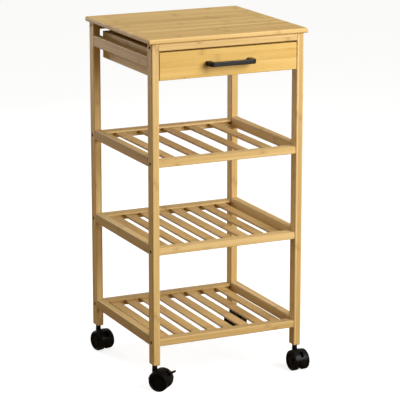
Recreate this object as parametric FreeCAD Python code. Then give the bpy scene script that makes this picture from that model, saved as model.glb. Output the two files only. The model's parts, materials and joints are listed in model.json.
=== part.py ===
import FreeCAD
import Part
import math
import os

# Rolling utility cart: a bamboo frame with a drawer under its top board, three
# slatted shelves and four twin-wheel casters.  Millimetres, +Z up, the front
# towards -Y and the left side towards -X.  Each piece goes to its own STEP file.

Vector = FreeCAD.Vector
X_AXIS = Vector(1, 0, 0)
Y_AXIS = Vector(0, 1, 0)
Z_AXIS = Vector(0, 0, 1)

# ---------------------------------------------------------------- overall
overall_height = 760.0
board_width = 370.0
board_depth = 350.0
board_thickness = 10.0
board_side_overhang = 8.0
board_end_overhang = 4.5
board_corner_round = 3.0
board_edge_round = 2.5

# ---------------------------------------------------------------- frame stock
leg_width = 16.5
leg_depth = 24.5
leg_edge_round = 2.5
leg_foot_chamfer = 1.5
cross_rail_height = 16.0
cross_rail_recess = 2.0
top_rail_recess = 0.5
side_rail_height = 22.0
drawer_rail_height = 24.5
drawer_rail_drop = 29.0
rail_edge_round = 2.0

# ---------------------------------------------------------------- shelves
# Each shelf: height of the rails' undersides, number of slats, and the space
# between the outermost slat and the side rail.
shelves = {
    "bottom_shelf": (96.5, 8, 15.5),
    "middle_shelf": (297.5, 8, 15.5),
    "top_shelf": (487.5, 5, 34.0),
}
slat_width = 22.5
slat_thickness = 5.2
slat_drop = 5.3
slat_edge_round = 1.4
slat_tongue = 6.0
slat_groove_play = 0.1
slat_groove_end_gap = 0.3

# ---------------------------------------------------------------- drawer
drawer_front_height = 58.5
drawer_front_thickness = 14.0
drawer_front_round = 1.5
drawer_top_gap = 3.0
drawer_front_side_gap = 0.8
drawer_box_side_gap = 3.5
drawer_side_thickness = 10.0
drawer_side_length = 296.5
drawer_back_thickness = 10.0
drawer_bottom_thickness = 3.0
drawer_bottom_height = 5.0
drawer_bottom_tongue = 4.0
drawer_groove_play = 0.1
runner_height = 10.0
runner_thickness = 8.0
runner_play = 0.3
runner_face_gap = 0.5
runner_end_inset = 5.0

# ---------------------------------------------------------------- handle
handle_length = 108.0
handle_hole_spacing = 96.0
handle_height = 9.6
handle_reach = 25.0
handle_bar_thickness = 6.5
handle_foot_width = 12.0
handle_outer_round = 9.0
handle_inner_round = 5.0
handle_edge_round = 1.6
handle_screw_radius = 2.0
handle_screw_grip = 10.0
handle_screw_head_radius = 4.0
handle_screw_head_height = 2.6

# ---------------------------------------------------------------- fasteners
bolt_radius = 3.0
bolt_length = 34.0
bolt_head_radius = 3.8
bolt_head_height = 5.0
bolt_head_sink = 0.8
bolt_socket_width = 4.0
bolt_socket_depth = 3.0
bolt_hole_play = 0.2
nut_radius = 5.0
nut_length = 12.0
nut_from_rail_end = 24.0
nut_play = 0.1
bolt_thread_play = 0.05
board_screw_radius = 1.9
board_screw_bite = 6.5
board_screw_head_radius = 3.7
board_screw_head_height = 2.6
board_screw_head_sink = 0.4
board_screw_from_middle = 105.0
runner_screw_radius = 1.6
runner_screw_bite = 9.0
runner_screw_head_radius = 3.0
runner_screw_head_height = 2.2
runner_screw_head_sink = 0.5
runner_screw_spacing = 110.0
screw_play = 0.1

# ---------------------------------------------------------------- casters
caster_height = 55.0
wheel_radius = 22.0
wheel_width = 12.7
wheel_inner_face = 6.2
wheel_edge_round = 3.2
wheel_rim_depth = 4.5
wheel_web_thickness = 3.6
wheel_hub_radius = 6.5
wheel_dish_depth = 1.2
wheel_cap_radius = 9.0
wheel_cap_proud = 0.3
wheel_cap_wall = 1.5
wheel_hub_gap = 0.3
axle_radius = 2.5
axle_end_gap = 0.3
axle_fit = 0.03
wheel_running_fit = 0.06
caster_trail = 14.5
hood_gap = 0.35
hood_crown_wall = 2.15
hood_rim_wall = 0.95
hood_half_width = 16.2
hood_low_angle = 8.0
hood_high_angle = 172.0
fork_thickness = 11.0
fork_underside = 14.0
boss_radius = 5.8
boss_top_drop = 8.5
boss_floor = 17.0
stem_radius = 4.0
stem_bottom = 21.0
stem_running_fit = 0.05
stem_end_gap = 0.4
stem_grip = 34.0
collar_radius = 5.5
collar_gap = 0.3
sleeve_wall = 1.4
sleeve_fit = 0.05
sleeve_length = 36.0

# Which way each caster trails, in degrees turned about the stem from straight
# forward, and whether it carries a brake lever.
casters = {
    "front_left": (-1, -1, 42.0, True),
    "front_right": (1, -1, 3.0, False),
    "back_left": (-1, 1, 15.0, False),
    "back_right": (1, 1, 10.0, True),
}

# ---------------------------------------------------------------- brake lever
brake_slot_width = 7.0
brake_window_low_angle = 28.0
brake_window_high_angle = 61.0
brake_pocket_high_angle = 72.0
brake_pocket_depth = 11.5
brake_pivot_angle = 57.0
brake_pivot_radius = 15.5
brake_lever_slope = 22.5
brake_pin_radius = 1.5
brake_pin_fit = 0.06
brake_pin_end_gap = 0.3
brake_lever_side_play = 0.3
brake_lever_eye = 3.4
brake_arm_thickness = 3.6
brake_tab_half_width = 5.0
brake_tab_start = 14.0
brake_tab_end = 26.5
brake_tab_thickness = 3.8
brake_tab_round = 1.4

# ---------------------------------------------------------------- worked out
board_underside = overall_height - board_thickness
frame_half_width = board_width / 2 - board_side_overhang
frame_half_depth = board_depth / 2 - board_end_overhang
clear_half_width = frame_half_width - leg_width
clear_half_depth = frame_half_depth - leg_depth
leg_centre_x = frame_half_width - leg_width / 2
leg_centre_y = frame_half_depth - leg_depth / 2
top_rail_underside = board_underside - cross_rail_height
drawer_rail_top = board_underside - drawer_rail_drop
drawer_rail_underside = drawer_rail_top - drawer_rail_height
drawer_top = top_rail_underside - drawer_top_gap
drawer_underside = drawer_top - drawer_front_height
drawer_face = -frame_half_depth
drawer_front_back = drawer_face + drawer_front_thickness
drawer_half_width = clear_half_width - drawer_box_side_gap
drawer_inner_half_width = drawer_half_width - drawer_side_thickness
drawer_back_end = drawer_front_back + drawer_side_length
drawer_floor_top = drawer_underside + drawer_bottom_height + drawer_bottom_thickness
runner_middle = drawer_rail_underside + drawer_rail_height / 2
runner_reach = clear_half_width - runner_thickness
runner_half_length = clear_half_depth - runner_end_inset
handle_middle = drawer_underside + drawer_front_height / 2
handle_hole_offset = handle_hole_spacing / 2
bolt_heights = [level + cross_rail_height / 2 for level, _, _ in shelves.values()]
bolt_heights.append(top_rail_underside + cross_rail_height / 2)
hood_inner_radius = wheel_radius + hood_gap
hood_outer_radius = hood_inner_radius + hood_crown_wall
hood_rim_radius = hood_inner_radius + hood_rim_wall
wheel_outer_face = wheel_inner_face + wheel_width
wheel_bore_end = wheel_outer_face + wheel_cap_proud - wheel_cap_wall
boss_top = caster_height - boss_top_drop


# ---------------------------------------------------------------- shaping
def block(low, high):
    """A plain box between two opposite corners, given in any order."""
    corner = Vector(*[min(a, b) for a, b in zip(low, high)])
    size = [abs(b - a) for a, b in zip(low, high)]
    return Part.makeBox(size[0], size[1], size[2], corner)


def straight_edges(shape, direction):
    """The straight edges of a shape that run along a direction."""
    found = []
    for edge in shape.Edges:
        if len(edge.Vertexes) != 2 or not isinstance(edge.Curve, Part.Line):
            continue
        if edge.tangentAt(edge.FirstParameter).cross(direction).Length < 1e-6:
            found.append(edge)
    return found


def rounded_bar(low, high, along, radius):
    """A box whose four edges along one direction are rounded."""
    bar = block(low, high)
    return bar.makeFillet(radius, straight_edges(bar, along))


def rod(radius, start, end):
    """A round bar from one point to another."""
    line = end - start
    return Part.makeCylinder(radius, line.Length, start, line)


def extruded(points, offset):
    """The solid swept when a closed outline is moved by an offset."""
    outline = Part.makePolygon([Vector(*p) for p in points] + [Vector(*points[0])])
    return Part.Face(outline).extrude(offset)


def corners():
    """The four leg corners as side and end signs, each with a name."""
    return [(name, side, end) for name, (side, end, _, _) in casters.items()]


# ---------------------------------------------------------------- fasteners
def bolt_axis(side, end, height):
    """The start of a frame bolt at the leg's outer face, and its direction."""
    start = Vector(side * frame_half_width, end * leg_centre_y, height)
    return start, Vector(-side, 0, 0)


def bolt_hole(side, end, height):
    """The stepped hole for one frame bolt, cut from the leg and the rail."""
    start, inward = bolt_axis(side, end, height)
    head_depth = bolt_head_sink + bolt_head_height
    head = rod(bolt_head_radius + bolt_hole_play, start - inward, start + inward * head_depth)
    tip = head_depth + bolt_length + bolt_hole_play
    shank = rod(bolt_radius + bolt_hole_play, start, start + inward * tip)
    return head.fuse(shank)


def frame_bolt(side, end, height):
    """A socket-head bolt that draws a cross rail against a leg."""
    start, inward = bolt_axis(side, end, height)
    face = start + inward * bolt_head_sink
    under_head = face + inward * bolt_head_height
    bolt = rod(bolt_head_radius, face, under_head)
    bolt = bolt.fuse(rod(bolt_radius, under_head, under_head + inward * bolt_length))
    socket = []
    for step in range(6):
        angle = math.radians(60 * step)
        reach = bolt_socket_width / 2 / math.cos(math.radians(30))
        socket.append((face.x, face.y + reach * math.cos(angle), face.z + reach * math.sin(angle)))
    return bolt.cut(extruded(socket, inward * bolt_socket_depth)).removeSplitter()


def nut_bottom(side, end, rail_underside):
    """The middle of a barrel nut's lower end, level with the rail's underside."""
    x = side * (clear_half_width - nut_from_rail_end)
    return Vector(x, end * leg_centre_y, rail_underside)


def nut_hole(side, end, rail_underside):
    """The blind hole drilled up into a cross rail for a barrel nut."""
    bottom = nut_bottom(side, end, rail_underside)
    return rod(nut_radius + nut_play, bottom - Z_AXIS, bottom + Z_AXIS * (nut_length + nut_play))


def barrel_nut(side, end, rail_underside):
    """A cross-drilled steel dowel that the frame bolt screws into."""
    bottom = nut_bottom(side, end, rail_underside)
    nut = rod(nut_radius, bottom, bottom + Z_AXIS * nut_length)
    centre = bottom + Z_AXIS * (cross_rail_height / 2)
    across = X_AXIS * (2 * nut_radius)
    return nut.cut(rod(bolt_radius + bolt_thread_play, centre - across, centre + across))


def board_screw_point(side, end):
    """Where a board screw enters the underside of a top rail."""
    y = end * (frame_half_depth - leg_depth / 2)
    return Vector(side * board_screw_from_middle, y, top_rail_underside)


def board_screw(side, end, play=0.0):
    """A countersunk screw up through a top rail; with play, the hole for it."""
    foot = board_screw_point(side, end)
    head_base = foot + Z_AXIS * (board_screw_head_sink - (1.0 if play else 0.0))
    head_top = foot + Z_AXIS * (board_screw_head_sink + board_screw_head_height)
    tip = foot + Z_AXIS * (cross_rail_height + board_screw_bite + play)
    head = rod(board_screw_head_radius + play, head_base, head_top)
    return head.fuse(rod(board_screw_radius + play, head_top, tip))


def runner_screw(side, y, play=0.0):
    """A screw that holds a runner to its rail; with play, the hole for it."""
    outward = Vector(side, 0, 0)
    face = Vector(side * runner_reach, y, runner_middle)
    head_base = face + outward * (runner_screw_head_sink - (1.0 if play else 0.0))
    head_top = face + outward * (runner_screw_head_sink + runner_screw_head_height)
    tip = face + outward * (runner_thickness + runner_screw_bite + play)
    head = rod(runner_screw_head_radius + play, head_base, head_top)
    return head.fuse(rod(runner_screw_radius + play, head_top, tip))


def runner_screw_places():
    """The places along Y of the screws in one runner."""
    return [-runner_screw_spacing, 0.0, runner_screw_spacing]


# ---------------------------------------------------------------- frame
def top_board():
    """The glued bamboo top, with rounded corners and a softened upper edge."""
    half_x = board_width / 2
    half_y = board_depth / 2
    low = (-half_x, -half_y, board_underside)
    board = rounded_bar(low, (half_x, half_y, overall_height), Z_AXIS, board_corner_round)
    rims = [e for e in board.Edges if abs(e.BoundBox.ZMin - e.BoundBox.ZMax) < 1e-6]
    board = board.makeFillet(board_edge_round, rims)
    for side in (-1, 1):
        for end in (-1, 1):
            board = board.cut(board_screw(side, end, screw_play))
    return board


def leg(side, end):
    """A corner leg, drilled for its frame bolts and for the caster's sleeve."""
    outer = (side * frame_half_width, end * frame_half_depth, caster_height)
    inner = (side * clear_half_width, end * clear_half_depth, board_underside)
    post = rounded_bar(outer, inner, Z_AXIS, leg_edge_round)
    foot_rim = [e for e in post.Edges if e.BoundBox.ZMax < caster_height + 1e-6]
    post = post.makeChamfer(leg_foot_chamfer, foot_rim)
    foot = Vector(side * leg_centre_x, end * leg_centre_y, caster_height)
    sleeve_radius = stem_radius + sleeve_wall + 2 * sleeve_fit
    post = post.cut(rod(sleeve_radius, foot, foot + Z_AXIS * (sleeve_length + sleeve_fit)))
    for height in bolt_heights:
        post = post.cut(bolt_hole(side, end, height))
    return post


def cross_rail(end, underside, recess):
    """A front or back rail between two legs, drilled for bolts and nuts."""
    face = end * (frame_half_depth - recess)
    low = (-clear_half_width, face, underside)
    high = (clear_half_width, end * clear_half_depth, underside + cross_rail_height)
    rail = rounded_bar(low, high, X_AXIS, rail_edge_round)
    for side in (-1, 1):
        rail = rail.cut(bolt_hole(side, end, underside + cross_rail_height / 2))
        rail = rail.cut(nut_hole(side, end, underside))
    return rail


def top_rail(end):
    """The rail under the front or back edge of the board."""
    rail = cross_rail(end, top_rail_underside, top_rail_recess)
    for side in (-1, 1):
        rail = rail.cut(board_screw(side, end, screw_play))
    return rail


def side_rail(side, underside, height):
    """A left or right rail between the front and the back leg."""
    low = (side * frame_half_width, -clear_half_depth, underside)
    high = (side * clear_half_width, clear_half_depth, underside + height)
    return rounded_bar(low, high, Y_AXIS, rail_edge_round)


def drawer_rail(side):
    """The side rail beside the drawer, drilled for the runner's screws."""
    rail = side_rail(side, drawer_rail_underside, drawer_rail_height)
    for y in runner_screw_places():
        rail = rail.cut(runner_screw(side, y, screw_play))
    return rail


def runner(side):
    """The strip on a drawer rail that the drawer's grooved side slides on."""
    low = (side * clear_half_width, -runner_half_length, runner_middle - runner_height / 2)
    high = (side * runner_reach, runner_half_length, runner_middle + runner_height / 2)
    strip = block(low, high)
    for y in runner_screw_places():
        strip = strip.cut(runner_screw(side, y, screw_play))
    return strip


# ---------------------------------------------------------------- shelves
def slat_top(level):
    """The height of a shelf's slats, a little below its front rail's top."""
    return level + cross_rail_height - slat_drop


def shelf_rail(end, level):
    """A shelf's front or back rail, with the groove that holds the slats."""
    rail = cross_rail(end, level, cross_rail_recess)
    groove_depth = slat_tongue + slat_groove_end_gap
    inner = end * (clear_half_depth - 1.0)
    low_z = slat_top(level) - slat_thickness - slat_groove_play
    low = (-clear_half_width - 1.0, inner, low_z)
    high = (
        clear_half_width + 1.0,
        end * (clear_half_depth + groove_depth),
        slat_top(level) + slat_groove_play,
    )
    return rail.cut(block(low, high))


def slats(level, count, side_gap):
    """The slats of one shelf, spread evenly between its side rails."""
    outermost = clear_half_width - side_gap - slat_width / 2
    pitch = 2 * outermost / (count - 1)
    half_length = clear_half_depth + slat_tongue
    top = slat_top(level)
    group = []
    for index in range(count):
        middle = index * pitch - outermost
        low = (middle - slat_width / 2, -half_length, top - slat_thickness)
        high = (middle + slat_width / 2, half_length, top)
        group.append(rounded_bar(low, high, Y_AXIS, slat_edge_round))
    return Part.makeCompound(group)


# ---------------------------------------------------------------- drawer
def bottom_groove(low_x, high_x, low_y, high_y):
    """The slot that takes the drawer's bottom panel."""
    low_z = drawer_floor_top - drawer_bottom_thickness - drawer_groove_play
    return block((low_x, low_y, low_z), (high_x, high_y, drawer_floor_top + drawer_groove_play))


def drawer_front():
    """The inset drawer front, grooved behind for the bottom panel."""
    half = clear_half_width - drawer_front_side_gap
    low = (-half, drawer_face, drawer_underside)
    high = (half, drawer_front_back, drawer_top)
    panel = block(low, high)
    face_edges = [e for e in panel.Edges if e.BoundBox.YMax < drawer_face + 1e-6]
    panel = panel.makeFillet(drawer_front_round, face_edges)
    reach = drawer_inner_half_width + drawer_bottom_tongue + drawer_groove_play
    slot_start = drawer_front_back - drawer_bottom_tongue - drawer_groove_play
    panel = panel.cut(bottom_groove(-reach, reach, slot_start, drawer_front_back + 1.0))
    for side in (-1, 1):
        place = Vector(side * handle_hole_offset, drawer_face - 1.0, handle_middle)
        through = Y_AXIS * (drawer_front_thickness + 2.0)
        panel = panel.cut(rod(handle_screw_radius + screw_play, place, place + through))
    return panel


def drawer_side(side):
    """A drawer side, grooved outside for the runner and inside for the bottom."""
    low = (side * drawer_half_width, drawer_front_back, drawer_underside)
    high = (side * drawer_inner_half_width, drawer_back_end, drawer_top)
    panel = block(low, high)
    half_slot = runner_height / 2 + runner_play
    slot_low = (
        side * (runner_reach - runner_face_gap),
        drawer_front_back - 1.0,
        runner_middle - half_slot,
    )
    slot_high = (side * (drawer_half_width + 1.0), drawer_back_end + 1.0, runner_middle + half_slot)
    panel = panel.cut(block(slot_low, slot_high))
    reach = side * (drawer_inner_half_width + drawer_bottom_tongue + drawer_groove_play)
    start = side * (drawer_inner_half_width - 1.0)
    return panel.cut(bottom_groove(reach, start, drawer_front_back - 1.0, drawer_back_end + 1.0))


def drawer_back():
    """The drawer's back panel, which stands on the bottom panel."""
    low_z = drawer_floor_top + drawer_groove_play
    low = (-drawer_inner_half_width, drawer_back_end - drawer_back_thickness, low_z)
    return block(low, (drawer_inner_half_width, drawer_back_end, drawer_top))


def drawer_bottom():
    """The thin bottom panel, held in grooves on three sides."""
    reach = drawer_inner_half_width + drawer_bottom_tongue
    low_z = drawer_floor_top - drawer_bottom_thickness
    low = (-reach, drawer_front_back - drawer_bottom_tongue, low_z)
    return block(low, (reach, drawer_back_end, drawer_floor_top))


def handle():
    """The bow handle: a flat bar that turns back into a foot at each end."""
    half = handle_length / 2
    base_z = handle_middle - handle_height / 2
    outer = block((-half, drawer_face, base_z), (half, drawer_face - handle_reach, base_z + handle_height))
    front_corners = [
        e for e in straight_edges(outer, Z_AXIS) if e.BoundBox.YMax < drawer_face - handle_reach + 1e-6
    ]
    outer = outer.makeFillet(handle_outer_round, front_corners)
    inner_half = half - handle_foot_width
    inner_reach = handle_reach - handle_bar_thickness
    inner = block(
        (-inner_half, drawer_face + handle_outer_round, base_z - 1.0),
        (inner_half, drawer_face - inner_reach, base_z + handle_height + 1.0),
    )
    inner_corners = [
        e for e in straight_edges(inner, Z_AXIS) if e.BoundBox.YMax < drawer_face - inner_reach + 1e-6
    ]
    bow = outer.cut(inner.makeFillet(handle_inner_round, inner_corners))
    rims = []
    for edge in bow.Edges:
        box = edge.BoundBox
        if abs(box.ZMax - box.ZMin) < 1e-6 and box.YMin < drawer_face - 1e-3:
            rims.append(edge)
    bow = bow.makeFillet(handle_edge_round, rims)
    for side in (-1, 1):
        place = Vector(side * handle_hole_offset, drawer_face, handle_middle)
        depth = handle_screw_grip + screw_play
        bow = bow.cut(rod(handle_screw_radius + screw_play, place + Y_AXIS, place - Y_AXIS * depth))
    return bow


def handle_screw(side):
    """A pan-head screw from inside the drawer front into the handle's foot."""
    inside = Vector(side * handle_hole_offset, drawer_front_back, handle_middle)
    head = rod(handle_screw_head_radius, inside, inside + Y_AXIS * handle_screw_head_height)
    head = head.makeFillet(handle_screw_head_height / 2, [head.Edges[0]])
    tip = inside - Y_AXIS * (drawer_front_thickness + handle_screw_grip)
    return head.fuse(rod(handle_screw_radius, inside, tip))


# ---------------------------------------------------------------- casters
# A caster is built with its stem on the Z axis and its wheels trailing towards
# -Y, then turned about the stem and moved under its leg.
wheel_middle = Vector(0, -caster_trail, wheel_radius)


def around_wheel(radius, angle):
    """A point in the wheel's plane; the angle rises from straight behind."""
    turn = math.radians(angle)
    return wheel_middle + Vector(0, -radius * math.cos(turn), radius * math.sin(turn))


def sector(radius, low_angle, high_angle, half_width):
    """A wedge of a disc about the wheel's axis, for cutting rings to length."""
    steps = 8
    points = [wheel_middle]
    for step in range(steps + 1):
        angle = low_angle + (high_angle - low_angle) * step / steps
        points.append(around_wheel(radius, angle))
    shifted = [(-half_width, p.y, p.z) for p in points]
    return extruded(shifted, X_AXIS * (2 * half_width))


def disc(radius, half_width):
    """A round plate about the wheel's axis."""
    return rod(radius, wheel_middle - X_AXIS * half_width, wheel_middle + X_AXIS * half_width)


def caster_stem():
    """The steel stem that the hood swivels on, with the collar under the leg."""
    stem = rod(stem_radius, Z_AXIS * stem_bottom, Z_AXIS * (caster_height + stem_grip))
    collar = rod(collar_radius, Z_AXIS * (boss_top + collar_gap), Z_AXIS * caster_height)
    return stem.fuse(collar).removeSplitter()


def caster_sleeve():
    """The plastic sleeve in the leg that grips the stem."""
    outer = stem_radius + sleeve_fit + sleeve_wall
    base = Z_AXIS * caster_height
    tube = rod(outer, base, base + Z_AXIS * sleeve_length)
    bore_top = base + Z_AXIS * (stem_grip + stem_end_gap)
    return tube.cut(rod(stem_radius + sleeve_fit, base, bore_top))


def caster_hood():
    """The moulded hood: a crowned guard over both wheels and the fork between."""
    far = 2 * hood_outer_radius

    def above_axle(x, radius):
        return wheel_middle + Vector(x, 0, radius)

    crown = Part.Arc(
        above_axle(-hood_half_width, hood_rim_radius),
        above_axle(0, hood_outer_radius),
        above_axle(hood_half_width, hood_rim_radius),
    ).toShape()
    inside = Part.makePolygon([
        above_axle(hood_half_width, hood_rim_radius),
        above_axle(hood_half_width, hood_inner_radius),
        above_axle(-hood_half_width, hood_inner_radius),
        above_axle(-hood_half_width, hood_rim_radius),
    ])
    ring = Part.Face(Part.Wire([crown] + inside.Edges)).revolve(wheel_middle, X_AXIS, 360)
    if ring.Volume < 0:
        ring.reverse()
    guard = ring.common(sector(far, hood_low_angle, hood_high_angle, hood_half_width + 1.0))
    fork = disc(hood_inner_radius + hood_rim_wall, fork_thickness / 2)
    below = block((-far, -caster_trail - far, -far), (far, -caster_trail + far, fork_underside))
    hood = guard.fuse(fork.cut(below))
    hood = hood.fuse(rod(boss_radius, Z_AXIS * boss_floor, Z_AXIS * boss_top))
    bore = rod(stem_radius + stem_running_fit, Z_AXIS * (stem_bottom - stem_end_gap), Z_AXIS * caster_height)
    hood = hood.cut(bore).cut(disc(axle_radius + axle_fit, fork_thickness))
    collar_room = rod(collar_radius + collar_gap, Z_AXIS * boss_top, Z_AXIS * caster_height)
    hood = hood.cut(collar_room)
    slot = sector(far, brake_window_low_angle, brake_window_high_angle, brake_slot_width / 2)
    pocket = sector(far, brake_window_low_angle, brake_pocket_high_angle, brake_slot_width / 2)
    pocket = pocket.common(disc(hood_inner_radius, brake_slot_width))
    slot = slot.fuse(pocket).cut(disc(brake_pocket_depth, brake_slot_width))
    pivot = around_wheel(brake_pivot_radius, brake_pivot_angle)
    pin_reach = X_AXIS * (fork_thickness / 2 + 1.0)
    pin_hole = rod(brake_pin_radius + brake_pin_fit, pivot - pin_reach, pivot + pin_reach)
    return hood.cut(slot).cut(pin_hole).removeSplitter()


def caster_axle():
    """The steel axle, fixed in the fork, that both wheels run on."""
    return disc(axle_radius, wheel_bore_end - axle_end_gap)


def caster_wheel(side):
    """One moulded wheel, hollow towards the fork, with a closed hub outside."""
    rim_radius = wheel_radius - wheel_rim_depth
    web_inside = wheel_outer_face - wheel_dish_depth - wheel_web_thickness
    bore = axle_radius + wheel_running_fit
    cap_face = wheel_outer_face + wheel_cap_proud
    dish_face = wheel_outer_face - wheel_dish_depth
    dish_outer = rim_radius - wheel_dish_depth
    section = [
        (wheel_bore_end, 0),
        (wheel_bore_end, bore),
        (fork_thickness / 2 + wheel_hub_gap, bore),
        (fork_thickness / 2 + wheel_hub_gap, wheel_hub_radius),
        (web_inside, wheel_hub_radius),
        (web_inside, rim_radius),
        (wheel_inner_face, rim_radius),
        (wheel_inner_face, wheel_radius),
        (wheel_outer_face, wheel_radius),
        (wheel_outer_face, dish_outer + wheel_dish_depth),
        (dish_face, dish_outer),
        (dish_face, wheel_cap_radius + wheel_dish_depth),
        (cap_face, wheel_cap_radius),
        (cap_face, 0),
    ]
    points = [Vector(side * x, wheel_middle.y, wheel_middle.z + r) for x, r in section]
    outline = Part.Face(Part.makePolygon(points + [points[0]]))
    wheel = outline.revolve(wheel_middle, X_AXIS, 360)
    if wheel.Volume < 0:
        wheel.reverse()
    tread_rims = []
    for edge in wheel.Edges:
        if isinstance(edge.Curve, Part.Circle) and abs(edge.Curve.Radius - wheel_radius) < 1e-6:
            tread_rims.append(edge)
    return wheel.makeFillet(wheel_edge_round, tread_rims)


def brake_lever():
    """The foot brake: an arm on a cross pin in the fork, with a tab outside."""
    pivot = around_wheel(brake_pivot_radius, brake_pivot_angle)
    slope = math.radians(brake_lever_slope)
    outward = Vector(0, -math.cos(slope), math.sin(slope))
    across = outward.cross(X_AXIS)
    half_arm = brake_slot_width / 2 - brake_lever_side_play
    pin_half = fork_thickness / 2 - brake_pin_end_gap

    def plate(start, stop, thickness, half_width):
        """A flat bar along the arm, from one distance from the pin to another."""
        points = []
        for reach, lift in ((start, -0.5), (stop, -0.5), (stop, 0.5), (start, 0.5)):
            p = pivot + outward * reach + across * (lift * thickness)
            points.append((-half_width, p.y, p.z))
        return extruded(points, X_AXIS * (2 * half_width))

    arm = plate(0, brake_tab_start + brake_tab_round, brake_arm_thickness, half_arm)
    tab = plate(brake_tab_start, brake_tab_end, brake_tab_thickness, brake_tab_half_width)
    tab_tip = pivot + outward * brake_tab_end
    end_edges = [e for e in tab.Edges if e.BoundBox.Center.distanceToPoint(tab_tip) < brake_tab_half_width + 0.1]
    tab = tab.makeFillet(brake_tab_round, [e for e in end_edges if e.Length > brake_tab_thickness + 0.1])
    eye = rod(brake_lever_eye, pivot - X_AXIS * half_arm, pivot + X_AXIS * half_arm)
    pin = rod(brake_pin_radius, pivot - X_AXIS * pin_half, pivot + X_AXIS * pin_half)
    return arm.fuse(tab).fuse(eye).fuse(pin).removeSplitter()


def under_leg(shape, side, end, turn):
    """Turn a caster piece about the stem and move it under its leg."""
    moved = shape.copy()
    moved.rotate(Vector(0, 0, 0), Z_AXIS, turn)
    moved.translate(Vector(side * leg_centre_x, end * leg_centre_y, 0))
    return moved


# ---------------------------------------------------------------- assembly
def frame_pieces():
    """The board, the legs, the rails and the runners."""
    pieces = {"top_board": top_board()}
    for name, side, end in corners():
        pieces["leg_" + name] = leg(side, end)
    for name, end in (("front", -1), ("back", 1)):
        pieces["top_" + name + "_rail"] = top_rail(end)
    for name, side in (("left", -1), ("right", 1)):
        pieces["drawer_rail_" + name] = drawer_rail(side)
        pieces["drawer_runner_" + name] = runner(side)
    return pieces


def shelf_pieces():
    """The four rails and the slats of every shelf."""
    pieces = {}
    for name, (level, count, side_gap) in shelves.items():
        pieces[name + "_front_rail"] = shelf_rail(-1, level)
        pieces[name + "_back_rail"] = shelf_rail(1, level)
        pieces[name + "_left_rail"] = side_rail(-1, level, side_rail_height)
        pieces[name + "_right_rail"] = side_rail(1, level, side_rail_height)
        pieces[name + "_slats"] = slats(level, count, side_gap)
    return pieces


def drawer_pieces():
    """The drawer's panels, its handle and the handle's screws."""
    return {
        "drawer_front": drawer_front(),
        "drawer_side_left": drawer_side(-1),
        "drawer_side_right": drawer_side(1),
        "drawer_back": drawer_back(),
        "drawer_bottom": drawer_bottom(),
        "drawer_handle": handle(),
        "handle_screws": Part.makeCompound([handle_screw(-1), handle_screw(1)]),
    }


def fastener_pieces():
    """Each kind of fastener as one group of separate solids."""
    undersides = [level for level, _, _ in shelves.values()] + [top_rail_underside]
    bolts = []
    nuts = []
    screws = []
    for _, side, end in corners():
        bolts += [frame_bolt(side, end, height) for height in bolt_heights]
        nuts += [barrel_nut(side, end, underside) for underside in undersides]
        screws.append(board_screw(side, end))
    runner_screws = [runner_screw(side, y) for side in (-1, 1) for y in runner_screw_places()]
    return {
        "frame_bolts": Part.makeCompound(bolts),
        "barrel_nuts": Part.makeCompound(nuts),
        "board_screws": Part.makeCompound(screws),
        "runner_screws": Part.makeCompound(runner_screws),
    }


def caster_pieces():
    """Four casters, each turned its own way, and the sleeves in the legs."""
    pieces = {}
    sleeves = []
    for name, (side, end, turn, braked) in casters.items():
        shapes = {
            "stem": caster_stem(),
            "hood": caster_hood(),
            "axle": caster_axle(),
            "wheel_left": caster_wheel(-1),
            "wheel_right": caster_wheel(1),
        }
        if braked:
            shapes["brake_lever"] = brake_lever()
        for piece, shape in shapes.items():
            pieces[name + "_caster_" + piece] = under_leg(shape, side, end, turn)
        sleeves.append(under_leg(caster_sleeve(), side, end, turn))
    pieces["caster_sleeves"] = Part.makeCompound(sleeves)
    return pieces


def all_pieces():
    """Every piece of the cart, by the name of its file."""
    pieces = frame_pieces()
    pieces.update(shelf_pieces())
    pieces.update(drawer_pieces())
    pieces.update(fastener_pieces())
    pieces.update(caster_pieces())
    return pieces


def floor_centre(pieces):
    """The point on the floor below the middle of the whole cart's box."""
    box = Part.makeCompound(list(pieces.values())).optimalBoundingBox(False, False)
    return Vector((box.XMin + box.XMax) / 2, (box.YMin + box.YMax) / 2, box.ZMin)


pieces = all_pieces()
origin = floor_centre(pieces)
os.makedirs("parts", exist_ok=True)
for name, shape in pieces.items():
    shape.translate(-origin)
    for solid in shape.Solids:
        if not solid.isValid() or solid.Volume <= 0:
            raise ValueError("bad solid in " + name)
    shape.exportStep("parts/" + name + ".step")
print("pieces:", len(pieces), " origin moved by:", origin)
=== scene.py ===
import json
import math

import bmesh
import bpy
from mathutils import Matrix, Vector


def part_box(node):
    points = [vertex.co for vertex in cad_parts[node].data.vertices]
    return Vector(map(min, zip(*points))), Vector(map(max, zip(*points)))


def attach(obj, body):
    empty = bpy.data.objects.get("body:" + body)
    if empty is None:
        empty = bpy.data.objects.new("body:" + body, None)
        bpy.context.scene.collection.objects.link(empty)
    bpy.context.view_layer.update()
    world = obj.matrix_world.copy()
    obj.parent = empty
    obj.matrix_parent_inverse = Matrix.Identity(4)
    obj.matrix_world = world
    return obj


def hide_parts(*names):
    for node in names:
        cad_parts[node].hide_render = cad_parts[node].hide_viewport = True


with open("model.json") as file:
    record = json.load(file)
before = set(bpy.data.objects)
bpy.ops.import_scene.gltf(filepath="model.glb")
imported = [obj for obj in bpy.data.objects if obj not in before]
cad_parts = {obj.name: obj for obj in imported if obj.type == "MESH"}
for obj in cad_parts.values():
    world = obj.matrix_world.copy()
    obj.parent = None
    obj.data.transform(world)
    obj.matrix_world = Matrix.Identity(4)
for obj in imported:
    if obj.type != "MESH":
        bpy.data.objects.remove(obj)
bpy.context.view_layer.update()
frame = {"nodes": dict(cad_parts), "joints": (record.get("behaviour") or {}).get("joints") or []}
nodes = frame["nodes"]

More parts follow.
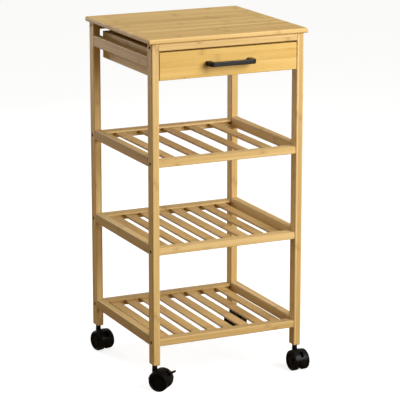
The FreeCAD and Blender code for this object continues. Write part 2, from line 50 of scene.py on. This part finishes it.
# ---------------------------------------------------------------- floor
# A wide sheet of pale studio paper that the cart stands on.  It glows a little,
# as paper lit from all round does, so the shadows on it stay faint.
bpy.ops.object.select_all(action="DESELECT")
bpy.ops.mesh.primitive_plane_add(size=60, location=(0, 0, -0.0004))
floor = bpy.context.object
floor.name = "studio_floor"


def node(tree, kind, inputs=None, **settings):
    """One shader node with its settings; an input is a number, a colour or another node's socket."""
    made = tree.nodes.new("ShaderNode" + kind)
    for key, value in settings.items():
        setattr(made, key, value)
    for key, value in (inputs or {}).items():
        if isinstance(value, bpy.types.NodeSocket):
            tree.links.new(value, made.inputs[key])
        else:
            made.inputs[key].default_value = value
    return made


def blank_material(name):
    """A material with an empty node tree."""
    finish = bpy.data.materials.new(name)
    finish.use_nodes = True
    finish.node_tree.nodes.clear()
    return finish


paper = blank_material("studio_paper")
tree = paper.node_tree
sheet = node(tree, "BsdfDiffuse", {"Color": (0.36, 0.36, 0.36, 1.0)})
glow = node(tree, "Emission", {"Color": (1.0, 1.0, 1.0, 1.0), "Strength": 0.80})
lit_sheet = node(tree, "AddShader", {0: sheet.outputs[0], 1: glow.outputs[0]})
node(tree, "OutputMaterial", {"Surface": lit_sheet.outputs[0]})
floor.data.materials.append(paper)
floor.visible_diffuse = False
floor.visible_glossy = False

# ---------------------------------------------------------------- light and camera
# A large softbox in front on the right, weaker ones overhead and behind, and warm
# walls all round.  The camera stands in front on the left, above the board.
bpy.context.scene.view_settings.view_transform = "Standard"
room = bpy.data.worlds.new("studio_room")
room.use_nodes = True
walls = room.node_tree.nodes["Background"]
height = node(room.node_tree, "SeparateXYZ", {0: node(room.node_tree, "TexCoord").outputs["Generated"]})
inputs = {"Value": height.outputs["Z"], "From Min": -0.3, "From Max": 0.5}
rise = node(room.node_tree, "MapRange", inputs, interpolation_type="SMOOTHSTEP").outputs["Result"]
inputs = {"Factor": rise, 6: (0.25, 0.160, 0.062, 1.0), 7: (0.42, 0.41, 0.39, 1.0)}
shade = node(room.node_tree, "Mix", inputs, data_type="RGBA").outputs[2]
room.node_tree.links.new(shade, walls.inputs["Color"])
bpy.context.scene.world = room


def softbox(name, position, target, size, power):
    """A square area light that looks from one point to another."""
    lamp = bpy.data.lights.new(name, "AREA")
    lamp.shape = "SQUARE"
    lamp.size = size
    lamp.energy = power
    holder = bpy.data.objects.new(name, lamp)
    bpy.context.scene.collection.objects.link(holder)
    holder.location = position
    aim = Vector(target) - Vector(position)
    holder.rotation_euler = aim.to_track_quat("-Z", "Y").to_euler()
    return holder


softbox("key_softbox", (0.95, -1.75, 1.35), (0.0, 0.0, 0.6), 1.3, 60.0)
softbox("top_softbox", (-0.2, 0.1, 2.6), (0.0, 0.0, 0.4), 1.6, 12.0)
softbox("back_softbox", (-0.7, 2.3, 0.9), (0.0, 0.0, 0.4), 1.2, 26.0)

lens = bpy.data.cameras.new("front_camera")
lens.sensor_width = 36.0
lens.lens = 187.9
lens.clip_start = 0.1
lens.clip_end = 100.0
camera = bpy.data.objects.new("front_camera", lens)
bpy.context.scene.collection.objects.link(camera)
camera.location = (-1.88829, -4.03762, 1.47996)
camera_yaw = math.radians(-25.12)
camera_tilt = math.radians(90.0 - 14.03)
camera.rotation_euler = (camera_tilt, 0.0, camera_yaw)
bpy.context.scene.camera = camera

# ---------------------------------------------------------------- top board
# The lid of the cart: a board of bamboo strips glued side by side, its edges
# rounded and lacquered satin.  Four screws hold it down from under the rails.


def maths(tree, operation, first, second=0.0, third=0.0):
    """The result of one arithmetic node."""
    return node(tree, "Math", {0: first, 1: second, 2: third}, operation=operation).outputs[0]


def ramped(tree, value, low, high, start, stop):
    """A value from low to high taken smoothly onto start to stop."""
    inputs = {"Value": value, "From Min": low, "From Max": high, "To Min": start, "To Max": stop}
    return node(tree, "MapRange", inputs, interpolation_type="SMOOTHSTEP").outputs["Result"]


def streaks(tree, run, across, deep, stretch, detail):
    """Noise drawn out along the grain; stretch is its scale along it and across it."""
    along, wide = stretch
    place = node(
        tree,
        "CombineXYZ",
        {
            0: maths(tree, "MULTIPLY", run, along),
            1: maths(tree, "MULTIPLY", across, wide),
            2: maths(tree, "MULTIPLY", deep, wide),
        },
    )
    inputs = {"Vector": place.outputs[0], "Scale": 1.0, "Detail": detail, "Roughness": 0.55}
    return node(tree, "TexNoise", inputs).outputs["Fac"]


def bamboo(name, grain, strip, layer, tones, knuckle_gap=0.24, seed=0.0, sheen=0.08):
    """Laminated bamboo: strips with fibres, dark flecks, knuckles and thin glue lines, under lacquer.

    grain is the axis that the strips run along, strip and layer their width and
    thickness in metres, and tones the dark, middle and light colours.
    """
    finish = blank_material(name)
    tree = finish.node_tree
    coordinates = node(tree, "TexCoord")
    quarter = math.radians(90)
    turn = {"X": (0, 0, 0), "Y": (0, 0, -quarter), "Z": (0, quarter, 0)}[grain]
    turned = node(tree, "Mapping", {"Vector": coordinates.outputs["Object"], "Rotation": turn})
    turned = node(tree, "SeparateXYZ", {0: turned.outputs[0]}).outputs
    across = maths(tree, "ADD", turned[1], seed * strip)
    deep = maths(tree, "ADD", turned[2], seed * layer)

    # which strip it is, and a number of its own for each
    strip_number = maths(tree, "FLOOR", maths(tree, "DIVIDE", across, strip))
    layer_number = maths(tree, "FLOOR", maths(tree, "DIVIDE", deep, layer))
    strip_place = node(tree, "CombineXYZ", {0: strip_number, 1: layer_number, 2: seed})
    lot = node(tree, "TexWhiteNoise", {"Vector": strip_place.outputs[0]}, noise_dimensions="3D")
    run = maths(tree, "MULTIPLY_ADD", lot.outputs["Value"], 7.3, turned[0])

    # tone: the strip's own, slow drift along it, and fine fibres
    drift = streaks(tree, run, across, deep, (3.0, 60.0), 2.0)
    fibres = streaks(tree, run, across, deep, (16.0, 1500.0), 3.0)
    tone = maths(tree, "MULTIPLY_ADD", lot.outputs["Value"], 0.34, 0.33)
    tone = maths(tree, "MULTIPLY_ADD", maths(tree, "SUBTRACT", drift, 0.5), 0.75, tone)
    tone = maths(tree, "MULTIPLY_ADD", maths(tree, "SUBTRACT", fibres, 0.5), 0.55, tone)
    ramp = node(tree, "ValToRGB", {"Fac": tone})
    ramp.color_ramp.elements[0].position = 0.12
    ramp.color_ramp.elements[1].position = 0.88
    middle = ramp.color_ramp.elements.new(0.5)
    for element, colour in zip((ramp.color_ramp.elements[0], middle, ramp.color_ramp.elements[2]), tones):
        element.color = (*colour, 1.0)

    # knuckles: a soft brown smudge across the strip, uneven, with a darker core
    wobble = streaks(tree, maths(tree, "MULTIPLY", run, 0.0), across, deep, (1.0, 70.0), 1.0)
    knuckle_run = maths(tree, "MULTIPLY_ADD", wobble, 0.008, run)
    from_knuckle = maths(tree, "PINGPONG", knuckle_run, knuckle_gap / 2)
    smudge = streaks(tree, run, across, deep, (110.0, 420.0), 2.0)
    smudge = ramped(tree, smudge, 0.3, 0.7, 0.35, 1.0)
    knuckle_core = ramped(tree, from_knuckle, 0.0002, 0.0024, 1.0, 0.0)
    knuckle_core = maths(tree, "MULTIPLY", knuckle_core, smudge)
    knuckle_shade = ramped(tree, from_knuckle, 0.001, 0.015, 1.0, 0.0)
    knuckle_shade = maths(tree, "MULTIPLY", knuckle_shade, smudge)

    # short dark flecks of the fibre bundles, and the glue lines
    bundles = streaks(tree, run, across, deep, (75.0, 1900.0), 1.0)
    flecks = ramped(tree, bundles, 0.60, 0.74, 0.0, 1.0)
    seam = maths(tree, "PINGPONG", across, strip / 2)
    seam = ramped(tree, seam, 0.0001, 0.0005, 1.0, 0.0)
    layer_seam = maths(tree, "PINGPONG", deep, layer / 2)
    layer_seam = ramped(tree, layer_seam, 0.0001, 0.0004, 1.0, 0.0)
    seam = maths(tree, "MAXIMUM", seam, layer_seam)

    brown = (tones[0][0] * 0.52, tones[0][1] * 0.42, tones[0][2] * 0.34, 1.0)
    colour = ramp.outputs["Color"]
    shares = ((knuckle_shade, 0.30), (knuckle_core, 0.34), (flecks, 0.26), (seam, 0.34))
    for mask, share in shares:
        inputs = {"Factor": maths(tree, "MULTIPLY", mask, share), 6: colour, 7: brown}
        colour = node(tree, "Mix", inputs, data_type="RGBA").outputs[2]

    # cut ends show the bundles as dots in a darker ground
    facing = node(tree, "SeparateXYZ", {0: coordinates.outputs["Normal"]}).outputs["XYZ".index(grain)]
    cut_end = ramped(tree, maths(tree, "ABSOLUTE", facing), 0.75, 0.92, 0.0, 1.0)
    end_place = node(tree, "CombineXYZ", {0: across, 1: deep, 2: 0.0})
    dots = node(tree, "TexVoronoi", {"Vector": end_place.outputs[0], "Scale": 1100.0})
    dots = ramped(tree, dots.outputs["Distance"], 0.12, 0.38, 1.0, 0.0)
    inputs = {"Factor": maths(tree, "MULTIPLY_ADD", dots, 0.34, 0.2), 6: colour, 7: brown}
    end_colour = node(tree, "Mix", inputs, data_type="RGBA").outputs[2]
    colour = node(tree, "Mix", {"Factor": cut_end, 6: colour, 7: end_colour}, data_type="RGBA").outputs[2]

    height = maths(tree, "MULTIPLY_ADD", fibres, 0.45, 0.0)
    height = maths(tree, "MULTIPLY_ADD", flecks, -0.35, height)
    height = maths(tree, "MULTIPLY_ADD", seam, -0.7, height)
    height = maths(tree, "MULTIPLY_ADD", knuckle_shade, 0.4, height)
    bump = node(tree, "Bump", {"Height": height, "Strength": 0.45, "Distance": 0.00018})
    rough = ramped(tree, fibres, 0.2, 0.8, 0.48, 0.64)
    surface = node(
        tree,
        "BsdfPrincipled",
        {
            "Base Color": colour,
            "Roughness": rough,
            "Normal": bump.outputs[0],
            "Specular IOR Level": 0.32,
            "Coat Weight": sheen,
            "Coat Roughness": 0.38,
        },
    )
    node(tree, "OutputMaterial", {"Surface": surface.outputs[0]})
    return finish


def dress(finish, *names):
    """Gives CAD pieces, by name, one material all over."""
    for name in names:
        for slot in nodes[name].material_slots:
            slot.material = finish


honey = ((0.43, 0.25, 0.070), (0.58, 0.375, 0.125), (0.70, 0.49, 0.205))
board_bamboo = bamboo("board_bamboo", "X", 0.0208, 0.0105, honey, 0.31, 0.37, 0.10)
dress(board_bamboo, "top_board")

# ---------------------------------------------------------------- legs
# Four square legs of solid laminated bamboo, planed and rounded on the edges.
# Each is drilled for its frame bolts and, in the foot, for the caster's sleeve.
pale = ((0.43, 0.265, 0.085), (0.60, 0.405, 0.155), (0.71, 0.52, 0.245))
for number, corner in enumerate(("front_left", "front_right", "back_left", "back_right")):
    leg_bamboo = bamboo("leg_bamboo_" + corner, "Z", 0.0082, 0.0082, pale, 0.29, 0.21 + 1.7 * number)
    dress(leg_bamboo, "leg_" + corner)

# ---------------------------------------------------------------- rails
# The rails that join the legs, of the same strips as the legs: cross rails run
# from left to right, side rails and drawer rails from front to back.
cross_bamboo = bamboo("cross_rail_bamboo", "X", 0.0165, 0.0083, pale, 0.33, 0.45)
side_bamboo = bamboo("side_rail_bamboo", "Y", 0.0165, 0.0115, pale, 0.33, 0.12)
dress(cross_bamboo, "top_front_rail", "top_back_rail")
dress(side_bamboo, "drawer_rail_left", "drawer_rail_right")
for shelf in ("bottom_shelf", "middle_shelf", "top_shelf"):
    dress(cross_bamboo, shelf + "_front_rail", shelf + "_back_rail")
    dress(side_bamboo, shelf + "_left_rail", shelf + "_right_rail")
dress(side_bamboo, "drawer_runner_left", "drawer_runner_right")

# ---------------------------------------------------------------- slats
# Thin bamboo slats, each cut from one strip, let into a groove in the front and
# back rails.  The strip width is wider than a slat, so a slat shows no glue line.
# the slat tones are the frame's pale bamboo made darker and more orange: painted shade of the shelves and
# board above them
amber_with_painted_shade = ((0.37, 0.205, 0.060), (0.54, 0.335, 0.110), (0.66, 0.44, 0.175))
slat_layouts = (("bottom_shelf", 0.0382, 8), ("middle_shelf", 0.0382, 8), ("top_shelf", 0.0576, 5))
for shelf, slat_pitch, slat_count in slat_layouts:
    low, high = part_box(shelf + "_slats")
    first_gap = (low.x + high.x) / 2 - slat_count / 2 * slat_pitch
    slat_bamboo_painted_shade = bamboo(shelf + "_slat_bamboo_painted_shade", "Y", slat_pitch, 1.0, amber_with_painted_shade, 0.27, first_gap / slat_pitch)
    dress(slat_bamboo_painted_shade, shelf + "_slats")

# ---------------------------------------------------------------- drawer
# A bamboo front with its grain across, a box of thinner bamboo panels and a
# plywood bottom let into grooves.  It slides on two runners under the board.
golden = ((0.44, 0.25, 0.050), (0.565, 0.355, 0.085), (0.66, 0.445, 0.14))
drawer_bamboo = bamboo("drawer_front_bamboo", "X", 0.03, 0.0204, golden, 0.36, 0.74, 0.16)
dress(drawer_bamboo, "drawer_front")
box_bamboo = bamboo("drawer_box_bamboo", "Y", 0.02, 0.03, pale, 0.3, 0.3)
dress(box_bamboo, "drawer_side_left", "drawer_side_right")
back_bamboo = bamboo("drawer_back_bamboo", "X", 0.02, 0.03, pale, 0.3, 0.6)
dress(back_bamboo, "drawer_back")
birch = ((0.62, 0.47, 0.30), (0.72, 0.58, 0.40), (0.80, 0.67, 0.49))
panel_ply = bamboo("drawer_plywood", "X", 0.4, 0.0012, birch, 5.0, 0.2, 0.05)
dress(panel_ply, "drawer_bottom")

# ---------------------------------------------------------------- handle
# A flat bow handle of cast metal with a matte black powder coat.  Two screws
# through the drawer front hold it.


def coated(name, colour, roughness, grain, depth, shine, mottle=0.12):
    """A moulded or sprayed surface: fine pimples, and a slow change of tone and gloss."""
    finish = blank_material(name)
    tree = finish.node_tree
    place = node(tree, "TexCoord").outputs["Object"]
    pimples = node(tree, "TexNoise", {"Vector": place, "Scale": 1.0 / grain, "Detail": 2.0})
    clouds = node(tree, "TexNoise", {"Vector": place, "Scale": 55.0, "Detail": 4.0})
    worn = tuple(min(1.0, c * 1.7 + 0.002) for c in colour)
    share = ramped(tree, clouds.outputs["Fac"], 0.42, 0.75, 0.0, mottle * 4)
    inputs = {"Factor": share, 6: (*colour, 1.0), 7: (*worn, 1.0)}
    tone = node(tree, "Mix", inputs, data_type="RGBA").outputs[2]
    gloss = ramped(tree, clouds.outputs["Fac"], 0.3, 0.7, roughness - 0.06, roughness + 0.08)
    bump = node(tree, "Bump", {"Height": pimples.outputs["Fac"], "Strength": 0.5, "Distance": depth})
    inputs = {"Base Color": tone, "Roughness": gloss, "Normal": bump.outputs[0]}
    surface = node(tree, "BsdfPrincipled", {**inputs, "Specular IOR Level": shine})
    node(tree, "OutputMaterial", {"Surface": surface.outputs[0]})
    return finish


handle_coat = coated("handle_black_coat", (0.0045, 0.0045, 0.0048), 0.42, 0.0006, 0.00006, 0.3)
dress(handle_coat, "drawer_handle")

# ---------------------------------------------------------------- fasteners
# Sixteen frame bolts of blackened steel, whose heads show in the legs, with their
# barrel nuts, and zinc plated screws for the board, the runners and the handle.


def metal(name, colour, roughness):
    """Plated steel with faint turning marks and a cloudy shine."""
    finish = blank_material(name)
    tree = finish.node_tree
    place = node(tree, "TexCoord").outputs["Object"]
    clouds = node(tree, "TexNoise", {"Vector": place, "Scale": 400.0, "Detail": 3.0})
    lines = node(tree, "TexNoise", {"Vector": place, "Scale": 2600.0, "Detail": 1.0})
    duller = tuple(c * 0.72 for c in colour)
    inputs = {"Factor": clouds.outputs["Fac"], 6: (*colour, 1.0), 7: (*duller, 1.0)}
    tone = node(tree, "Mix", inputs, data_type="RGBA").outputs[2]
    gloss = ramped(tree, clouds.outputs["Fac"], 0.3, 0.7, roughness - 0.08, roughness + 0.08)
    bump = node(tree, "Bump", {"Height": lines.outputs["Fac"], "Strength": 0.3, "Distance": 0.00002})
    inputs = {"Base Color": tone, "Metallic": 1.0, "Roughness": gloss, "Normal": bump.outputs[0]}
    surface = node(tree, "BsdfPrincipled", inputs)
    node(tree, "OutputMaterial", {"Surface": surface.outputs[0]})
    return finish


zinc = metal("zinc_plate", (0.62, 0.63, 0.65), 0.34)
dark_steel = metal("black_oxide_steel", (0.035, 0.034, 0.033), 0.42)
dress(dark_steel, "frame_bolts")
dress(zinc, "barrel_nuts", "board_screws", "runner_screws", "handle_screws")

# ---------------------------------------------------------------- casters
# Four swivel casters of black nylon: a hood that turns on a steel stem in the
# leg's sleeve, and a zinc plated axle.  Two of them have a foot brake.
hood_nylon = coated("caster_nylon", (0.0026, 0.0026, 0.0028), 0.34, 0.0009, 0.00005, 0.13)
dress(hood_nylon, "caster_sleeves")
for corner in ("front_left", "front_right", "back_left", "back_right"):
    caster = corner + "_caster_"
    dress(hood_nylon, caster + "hood")
    dress(dark_steel, caster + "stem")
    dress(zinc, caster + "axle")
for corner in ("front_left", "back_right"):
    dress(hood_nylon, corner + "_caster_brake_lever")

# ---------------------------------------------------------------- caster wheels
# Twin wheels of moulded nylon on each axle: a rounded tread with a fine parting
# line, a dished web with six pockets, and a raised hub.  The inside is hollow.
wheel_nylon = coated("wheel_nylon", (0.0026, 0.0026, 0.0026), 0.44, 0.0007, 0.00006, 0.10, 0.2)
low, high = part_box("front_left_caster_wheel_left")
wheel_radius = (high.z - low.z) / 2
wheel_width = 0.0127
wheel_inner_face = 0.0062
outer_face = wheel_width / 2
web_height = outer_face - 0.0012
web_outside = wheel_radius - 0.0062
pocket_inside = web_outside - 0.0069
rib_half_angle = 7
hair = 0.0001

bpy.ops.object.select_all(action="DESELECT")
bpy.ops.mesh.primitive_cylinder_add(
    vertices=72, radius=wheel_radius, depth=wheel_width, end_fill_type="NGON"
)
wheel = bpy.context.object
bpy.ops.object.mode_set(mode="EDIT")


def select_where(kind, wanted):
    """Selects, in edit mode, the faces or the edges whose middle answers wanted."""
    bpy.ops.mesh.select_mode(type=kind)
    bpy.ops.mesh.select_all(action="DESELECT")
    shape = bmesh.from_edit_mesh(bpy.context.object.data)
    for part in shape.faces if kind == "FACE" else shape.edges:
        corners = [v.co for v in part.verts]
        middle = sum(corners, Vector()) / len(corners)
        if wanted(middle):
            part.select_set(True)
    shape.select_flush_mode()
    bmesh.update_edit_mesh(bpy.context.object.data)


def inset_steps(*steps):
    """Insets what is selected, step by step; a step is the inset's width and its depth."""
    for thickness, depth in steps:
        bpy.ops.mesh.inset(thickness=thickness, depth=depth)


def on_rim(middle, height):
    """Whether a point lies on the tread's edge at this height."""
    return abs(middle.z - height) < hair and middle.xy.length > wheel_radius - 0.0003


def in_pocket(middle):
    """Whether a point lies in one of the six pockets between the web's ribs."""
    turn = math.degrees(math.atan2(middle.y, middle.x)) % 60
    on_web = abs(middle.z - web_height) < hair and pocket_inside < middle.xy.length < web_outside
    return on_web and rib_half_angle < turn < 60 - rib_half_angle


# the parting line round the tread: three cuts, and the middle ring drawn in
for step in (-0.0003, 0.0, 0.0003):
    bpy.ops.mesh.select_all(action="SELECT")
    bpy.ops.mesh.bisect(plane_co=(0, 0, step), plane_no=(0, 0, 1))
select_where("EDGE", lambda middle: abs(middle.z) < hair and middle.xy.length > 0.9 * wheel_radius)
bpy.ops.transform.resize(value=(0.989, 0.989, 1.0))

# the outer side: rim and dish, then web, hub and the hub's dimple
select_where("FACE", lambda middle: middle.z > outer_face - hair)
inset_steps((0.0043, 0.0), (0.0007, -0.0012), (0.0012, 0.0))
inset_steps((0.0070, 0.0), (0.0012, 0.0), (0.0006, 0.0013), (0.0024, 0.0), (0.0008, -0.0005))
select_where("FACE", in_pocket)
inset_steps((0.0006, 0.0), (0.0004, -0.0014))

# the inner side is hollow round a hub
select_where("FACE", lambda middle: middle.z < hair - outer_face)
inset_steps((0.0036, 0.0), (0.0006, -0.0062), (0.0106, 0.0), (0.0003, 0.0060))

# rounded tread edges, the outer one more
select_where("EDGE", lambda middle: on_rim(middle, outer_face))
bpy.ops.mesh.bevel(offset=0.0032, segments=5, affect="EDGES")
select_where("EDGE", lambda middle: on_rim(middle, -outer_face))
bpy.ops.mesh.bevel(offset=0.0007, segments=2, affect="EDGES")
bpy.ops.mesh.select_all(action="SELECT")
bpy.ops.mesh.normals_make_consistent(inside=False)
bpy.ops.object.mode_set(mode="OBJECT")
bpy.ops.object.shade_smooth_by_angle(angle=math.radians(32))

# a copy for each end of each axle, its outer side outwards
for joint in frame["joints"]:
    if "_spin_" not in joint["name"]:
        continue
    corner, hand = joint["name"].split("_spin_")
    axle = Vector(joint["axis"]).normalized()
    if axle.x < 0:
        axle = -axle
    outward = -axle if hand == "left" else axle
    middle = Vector(joint["pos_m"]) + outward * (wheel_inner_face + wheel_width / 2)
    turn = outward.to_track_quat("Z", "Y").to_matrix().to_4x4()
    moulding = wheel.data.copy()
    moulding.transform(Matrix.Translation(middle) @ turn)
    twin = bpy.data.objects.new(f"{corner}_wheel_{hand}_moulding", moulding)
    bpy.context.scene.collection.objects.link(twin)
    twin.data.materials.append(wheel_nylon)
    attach(twin, f"{corner}_wheel_{hand}")
    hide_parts(f"{corner}_caster_wheel_{hand}")
bpy.data.objects.remove(wheel)
